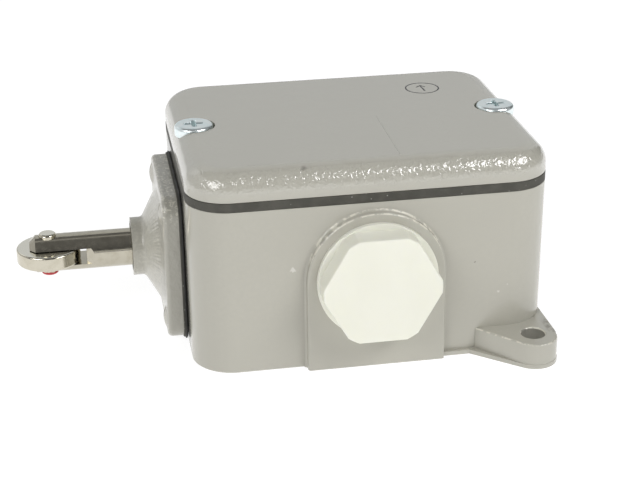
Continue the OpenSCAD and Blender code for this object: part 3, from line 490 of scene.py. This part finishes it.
def edge_picker(name, boxes):
    """Nodes that mark the sharp edges inside some boxes for rounding."""
    group = bpy.data.node_groups.new(name, "GeometryNodeTree")
    group.interface.new_socket("Mesh", in_out="INPUT", socket_type="NodeSocketGeometry")
    group.interface.new_socket("Mesh", in_out="OUTPUT", socket_type="NodeSocketGeometry")

    def add(kind, **settings):
        made = group.nodes.new(kind)
        for key, value in settings.items():
            setattr(made, key, value)
        return made

    def both(operation, first, second):
        made = add("FunctionNodeBooleanMath", operation=operation)
        group.links.new(first, made.inputs[0])
        group.links.new(second, made.inputs[1])
        return made.outputs[0]

    place = add("GeometryNodeInputPosition").outputs[0]

    def beyond(operation, corner):
        made = add("FunctionNodeCompare", data_type="VECTOR", mode="ELEMENT", operation=operation)
        group.links.new(place, made.inputs["A"])
        made.inputs["B"].default_value = Vector(corner) * MM
        return made.outputs[0]

    inside = None
    for low, high in boxes:
        held = both("AND", beyond("GREATER_THAN", low), beyond("LESS_THAN", high))
        inside = held if inside is None else both("OR", inside, held)
    sharp = add("FunctionNodeCompare", data_type="FLOAT", operation="GREATER_THAN")
    group.links.new(add("GeometryNodeInputMeshEdgeAngle").outputs["Unsigned Angle"], sharp.inputs["A"])
    sharp.inputs["B"].default_value = EDGE_ANGLE
    store = add("GeometryNodeStoreNamedAttribute", data_type="FLOAT", domain="EDGE")
    store.inputs["Name"].default_value = "bevel_weight_edge"
    group.links.new(add("NodeGroupInput").outputs[0], store.inputs["Geometry"])
    group.links.new(both("AND", inside, sharp.outputs[0]), store.inputs["Value"])
    smooth = add("GeometryNodeSetShadeSmooth", domain="FACE")
    group.links.new(store.outputs[0], smooth.inputs["Geometry"])
    crease = add("GeometryNodeSetShadeSmooth", domain="EDGE")
    group.links.new(smooth.outputs[0], crease.inputs["Geometry"])
    group.links.new(both("NIMPLY", sharp.outputs[0], inside), crease.inputs["Selection"])
    crease.inputs["Shade Smooth"].default_value = False
    group.links.new(crease.outputs[0], add("NodeGroupOutput").inputs[0])
    return group


def soften(name, width, boxes):
    """Rounds edges of a CAD node, with modifiers over its mesh."""
    modifiers = nodes[name].modifiers
    modifiers.new("weld", "WELD").merge_threshold = WELD_REACH
    flat = modifiers.new("flat", "DECIMATE")
    flat.decimate_type = "DISSOLVE"
    flat.angle_limit = FLAT_ANGLE
    modifiers.new("pick", "NODES").node_group = edge_picker(name + "_edges", boxes)
    edge = modifiers.new("edge", "BEVEL")
    edge.limit_method = "WEIGHT"
    edge.width = width * MM
    edge.segments = EDGE_STEPS
    edge.use_clamp_overlap = False
    modifiers.new("normals", "WEIGHTED_NORMAL").keep_sharp = True


for node_name, (edge_width, edge_boxes) in EDGES.items():
    soften(node_name, edge_width, edge_boxes)


# New pieces

def make_object(name, mesh, material):
    """Makes an object of a mesh and puts it in the scene."""
    data = bpy.data.meshes.new(name)
    mesh.to_mesh(data)
    mesh.free()
    data.materials.append(material)
    made = bpy.data.objects.new(name, data)
    bpy.context.scene.collection.objects.link(made)
    return made


def add_piece(name, mesh, body, material):
    """Makes a piece of the part that rides on a body."""
    bmesh.ops.recalc_face_normals(mesh, faces=mesh.faces)
    piece = make_object(name, mesh, material)
    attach(piece, body)
    return piece


def stitch(mesh, rows, next_rows, smooth=True):
    """Faces between pairs of rows, each row a closed ring of points."""
    for row, next_row in zip(rows, next_rows):
        for index in range(len(row)):
            following = (index + 1) % len(row)
            face = mesh.faces.new((row[index], next_row[index], next_row[following], row[following]))
            face.smooth = smooth


# Roller

ROLLER_BORE = 2.15
ROLLER_EDGE = 0.5
BORE_EDGE = 0.15
ROLLER_STEPS = 128
ARC_STEPS = 6


def corner_arc(reach, level, radius, first_angle):
    """Points of a quarter round in a section, around its own centre."""
    points = []
    for step in range(ARC_STEPS + 1):
        angle = first_angle + math.pi / 2 * step / ARC_STEPS
        points.append((reach + radius * math.cos(angle), level + radius * math.sin(angle)))
    return points


def turned_roller():
    """The roller as a finely turned wheel with rounded rims."""
    centre = (roller_low + roller_high) / 2
    half = (roller_high.z - roller_low.z) / 2
    rim = min(roller_high.x - roller_low.x, roller_high.y - roller_low.y) / 2
    outside, outer_half = rim - ROLLER_EDGE, half - ROLLER_EDGE
    inside, inner_half = ROLLER_BORE + BORE_EDGE, half - BORE_EDGE
    section = (corner_arc(outside, -outer_half, ROLLER_EDGE, -math.pi / 2)
               + corner_arc(outside, outer_half, ROLLER_EDGE, 0)
               + corner_arc(inside, inner_half, BORE_EDGE, math.pi / 2)
               + corner_arc(inside, -inner_half, BORE_EDGE, math.pi))
    mesh = bmesh.new()
    rows = []
    for step in range(ROLLER_STEPS):
        angle = math.tau * step / ROLLER_STEPS
        way = Vector((math.cos(angle), math.sin(angle), 0))
        points = [centre + way * reach + Vector((0, 0, level)) for reach, level in section]
        rows.append([mesh.verts.new(point * MM) for point in points])
    stitch(mesh, rows, rows[1:] + rows[:1])
    material = nodes["roller"].data.materials[0]
    piece = add_piece("turned_roller", mesh, "roller", material)
    piece.modifiers.new("normals", "WEIGHTED_NORMAL")
    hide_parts("roller")


# Dark lip of the head gasket, standing in for the shade in the crevice beside the housing's wall

LIP_HALF = 0.28
LIP_OUT = 0.32
LIP_CORNER = 4.9
LIP_SIDES = 10
LIP_ARC_STEPS = 12
LIP_STRAIGHT_STEPS = 24
LIP_CLEARANCE = 0.02

# Waves of the lip: height, number round the head and first angle
LIP_WAVES = ((0.35, 9, 0), (0.3, 23, 1))


def lip_path(half):
    """Places round a rounded square, each with its outward way."""
    places = []
    inner = half - LIP_CORNER
    for quarter in range(4):
        first = math.pi / 2 * quarter
        hub = Vector((math.cos(first + math.pi / 4), math.sin(first + math.pi / 4))) * inner * math.sqrt(2)
        for step in range(LIP_ARC_STEPS + 1):
            angle = first + math.pi / 2 * step / LIP_ARC_STEPS
            way = Vector((math.cos(angle), math.sin(angle)))
            places.append((hub + way * LIP_CORNER, way))
        run = Vector((-way.y, way.x)) * 2 * inner
        for step in range(1, LIP_STRAIGHT_STEPS):
            places.append((hub + way * LIP_CORNER + run * step / LIP_STRAIGHT_STEPS, way))
    return places


def gasket_shade_lip():
    """Uneven rim of the head gasket, squeezed out beside the housing's wall, near black as painted shade of
    the crevice there.
    """
    mesh = bmesh.new()
    middle_x = seal_high.x - LIP_HALF - LIP_CLEARANCE
    places = lip_path((seal_high.y - seal_low.y) / 2)
    rows = []
    for index, (place, way) in enumerate(places):
        share = math.tau * index / len(places)
        swell = 1 + sum(height * math.sin(count * share + first) for height, count, first in LIP_WAVES)
        row = []
        for side in range(LIP_SIDES):
            angle = math.tau * side / LIP_SIDES
            out = place + way * LIP_OUT * swell * math.cos(angle)
            spot = Vector((middle_x + LIP_HALF * math.sin(angle), head_axis.y + out.x, head_axis.z + out.y))
            row.append(mesh.verts.new(spot * MM))
        rows.append(row)
    stitch(mesh, rows, rows[1:] + rows[:1])
    add_piece("gasket_shade_lip", mesh, "housing", painted_shade_lip())


# Return spring

SPRING_WIRE = 1.0
SPRING_PITCH = 3.3
SPRING_PLAY = 0.03
TURN_STEPS = 36
WIRE_SIDES = 12


def coiled_spring():
    """The return spring as a coil of round wire on the housing; the real one shortens towards the contact
    block as the plunger goes in, this coil keeps its length.
    """
    low, high = (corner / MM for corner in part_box("return_spring"))
    mean_radius = (high.y - low.y - SPRING_WIRE) / 2
    turns = round((high.x - low.x) / SPRING_PITCH)
    first_x = low.x + SPRING_WIRE / 2 + SPRING_PLAY
    run = high.x - low.x - SPRING_WIRE - 2 * SPRING_PLAY
    mesh = bmesh.new()
    rows = []
    for step in range(turns * TURN_STEPS + 1):
        share = step / (turns * TURN_STEPS)
        closing = math.sin(math.tau * share) / (math.tau * turns)
        turn = math.tau * turns * share
        way = Vector((0, math.cos(turn), math.sin(turn)))
        middle = Vector((first_x + run * (share - closing), head_axis.y, head_axis.z)) + way * mean_radius
        row = []
        for side in range(WIRE_SIDES):
            angle = math.tau * side / WIRE_SIDES
            offset = way * math.cos(angle) + Vector((math.sin(angle), 0, 0))
            row.append(mesh.verts.new((middle + offset * SPRING_WIRE / 2) * MM))
        rows.append(row)
    stitch(mesh, rows, rows[1:])
    mesh.faces.new(rows[0])
    mesh.faces.new(rows[-1])
    material = nodes["return_spring"].data.materials[0]
    piece = add_piece("coiled_spring", mesh, "housing", material)
    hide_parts("return_spring")
    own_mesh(piece)


# Marks on the cover

PRINT_HEIGHT = 0.03
SIGN_CENTRE = Vector((22.8, 17.0))
SIGN_RADIUS = 4.15
SIGN_LINE = 0.46
ARROW_TAIL = Vector((0.19, -2.3))
ARROW_TIP = Vector((-0.1, 2.1))
ARROW_BARBS = (Vector((-1.27, 0.9)), Vector((0.98, 0.85)))
LINE_TOP = Vector((6.9, -2.0))
LINE_FOOT = Vector((6.65, -29.2))
LINE_WIDTH = 0.3
LINE_HEIGHT = 0.07
CROWN_SHARE = 0.6
RING_STEPS = 72


def flat_stroke(mesh, start, end, width, low, high):
    """A straight bar on the cover that narrows towards its top, as a closed solid."""
    along = (end - start).normalized()
    side = Vector((-along.y, along.x)) * width / 2
    corners = [start - side, end - side, end + side, start + side]
    foot = [mesh.verts.new((point.x * MM, point.y * MM, low * MM)) for point in corners]
    lean = side * CROWN_SHARE
    inset = [start - lean, end - lean, end + lean, start + lean]
    crown = [mesh.verts.new((point.x * MM, point.y * MM, high * MM)) for point in inset]
    mesh.faces.new(reversed(foot))
    mesh.faces.new(crown)
    for index in range(4):
        following = (index + 1) % 4
        mesh.faces.new((foot[index], foot[following], crown[following], crown[index]))


def flat_ring(mesh, centre, radius, width, low, high):
    """A printed circle, as a closed ring."""
    crown = width / 2 * CROWN_SHARE
    rows = []
    for step in range(RING_STEPS):
        angle = math.tau * step / RING_STEPS
        way = Vector((math.cos(angle), math.sin(angle)))
        section = ((radius - width / 2, low), (radius + width / 2, low),
                   (radius + crown, high), (radius - crown, high))
        points = [(centre + way * reach, level) for reach, level in section]
        rows.append([mesh.verts.new((point.x * MM, point.y * MM, level * MM)) for point, level in points])
    stitch(mesh, rows, rows[1:] + rows[:1], smooth=False)


def arrow_sign():
    """Printed sign on the cover: an arrow in a circle."""
    mesh = bmesh.new()
    low, high = cover_high.z - PRINT_HEIGHT, cover_high.z + PRINT_HEIGHT
    flat_ring(mesh, SIGN_CENTRE, SIGN_RADIUS, SIGN_LINE, low, high)
    tip = SIGN_CENTRE + ARROW_TIP
    for start in (ARROW_TAIL, *ARROW_BARBS):
        flat_stroke(mesh, SIGN_CENTRE + start, tip, SIGN_LINE, low, high)
    add_piece("arrow_sign", mesh, "housing", black_ink())


def raised_line():
    """Thin raised line cast into the cover."""
    mesh = bmesh.new()
    low, high = cover_high.z - PRINT_HEIGHT, cover_high.z + LINE_HEIGHT
    flat_stroke(mesh, LINE_FOOT, LINE_TOP, LINE_WIDTH, low, high)
    add_piece("raised_line", mesh, "housing", nodes["cover"].data.materials[0])


turned_roller()
gasket_shade_lip()
coiled_spring()
arrow_sign()
raised_line()


# Stage and light, with lengths in metres

FLOOR_HALF = 6.0
FLOOR_GLOW = 0.88
HORIZON_RADIANCE = 0.08
ZENITH_RADIANCE = 0.17
AIM = Vector((0, 0, 0.025))


def floor():
    """A wide pale floor that glows a little, as a lit white table does."""
    finish = Finish("pale_floor")
    clouds = finish.span(finish.noise(400, detail=2), 0.3, 0.7)
    tone = finish.mix(clouds, (0.24, 0.24, 0.24, 1), (0.26, 0.26, 0.26, 1))
    material = finish.show(Base_Color=tone, Roughness=0.9, Emission_Color=(1, 1, 1, 1),
                           Emission_Strength=FLOOR_GLOW)
    mesh = bmesh.new()
    bmesh.ops.create_grid(mesh, x_segments=2, y_segments=2, size=FLOOR_HALF)
    make_object("floor", mesh, material)


def panel(name, place, size, radiance, colour=(1, 1, 1)):
    """A soft light panel that faces the part, as bright as its radiance says."""
    data = bpy.data.lights.new(name, "AREA")
    data.shape = "RECTANGLE"
    data.size, data.size_y = size
    data.energy = radiance * math.pi * size[0] * size[1]
    data.color = colour
    lamp = bpy.data.objects.new(name, data)
    lamp.location = place
    lamp.rotation_euler = (AIM - lamp.location).to_track_quat("-Z", "Y").to_euler()
    lamp.visible_camera = False
    bpy.context.scene.collection.objects.link(lamp)


def around(azimuth, elevation, distance):
    """A place seen from the part: azimuth from its front towards its right, in degrees."""
    turn, rise = math.radians(azimuth), math.radians(elevation)
    flat = Vector((math.sin(turn), -math.cos(turn), 0)) * math.cos(rise)
    return AIM + (flat + Vector((0, 0, math.sin(rise)))) * distance


floor()
panel("right_box", around(44, 41, 0.9), (0.44, 0.34), 8.8)
panel("left_box", around(-50, 31, 0.9), (0.50, 0.38), 4.7)
panel("left_fill", around(-112, 24, 1.2), (1.2, 1.0), 0.5)
panel("low_front", around(10, 6, 1.5), (1.0, 0.22), 0.6)
panel("ceiling", around(180, 80, 1.2), (0.7, 0.2), 0.3)
panel("back", around(180, 28, 1.3), (2.4, 1.3), 0.53, (0.97, 0.99, 1.0))


def studio():
    """A dim room that grows lighter towards its ceiling."""
    world = bpy.data.worlds.new("studio")
    world.use_nodes = True
    tree = world.node_tree
    way = tree.nodes.new("ShaderNodeTexCoord").outputs["Generated"]
    apart = tree.nodes.new("ShaderNodeSeparateXYZ")
    tree.links.new(way, apart.inputs[0])
    grade = tree.nodes.new("ShaderNodeMapRange")
    tree.links.new(apart.outputs["Z"], grade.inputs["Value"])
    grade.inputs["To Min"].default_value = HORIZON_RADIANCE
    grade.inputs["To Max"].default_value = ZENITH_RADIANCE
    room = tree.nodes["Background"]
    room.inputs["Color"].default_value = (1, 1, 1, 1)
    tree.links.new(grade.outputs["Result"], room.inputs["Strength"])
    bpy.context.scene.world = world


studio()
bpy.context.scene.view_settings.view_transform = "Standard"


# Camera, with its place in millimetres

CAMERA_PLACE = Vector((-65.92, -337.27, 167.17))
CAMERA_AZIMUTH = math.radians(-9.935)
CAMERA_ELEVATION = math.radians(23.715)
CAMERA_ROLL = math.radians(-0.579)
CAMERA_LENS = 84.455
CAMERA_SENSOR = 36

camera_data = bpy.data.cameras.new("camera")
camera_data.lens = CAMERA_LENS
camera_data.sensor_width = CAMERA_SENSOR
camera = bpy.data.objects.new("camera", camera_data)
camera.matrix_world = (Matrix.Translation(CAMERA_PLACE * MM)
                       @ Matrix.Rotation(CAMERA_AZIMUTH, 4, "Z")
                       @ Matrix.Rotation(math.pi / 2 - CAMERA_ELEVATION, 4, "X")
                       @ Matrix.Rotation(CAMERA_ROLL, 4, "Z"))
bpy.context.scene.collection.objects.link(camera)
bpy.context.scene.camera = camera
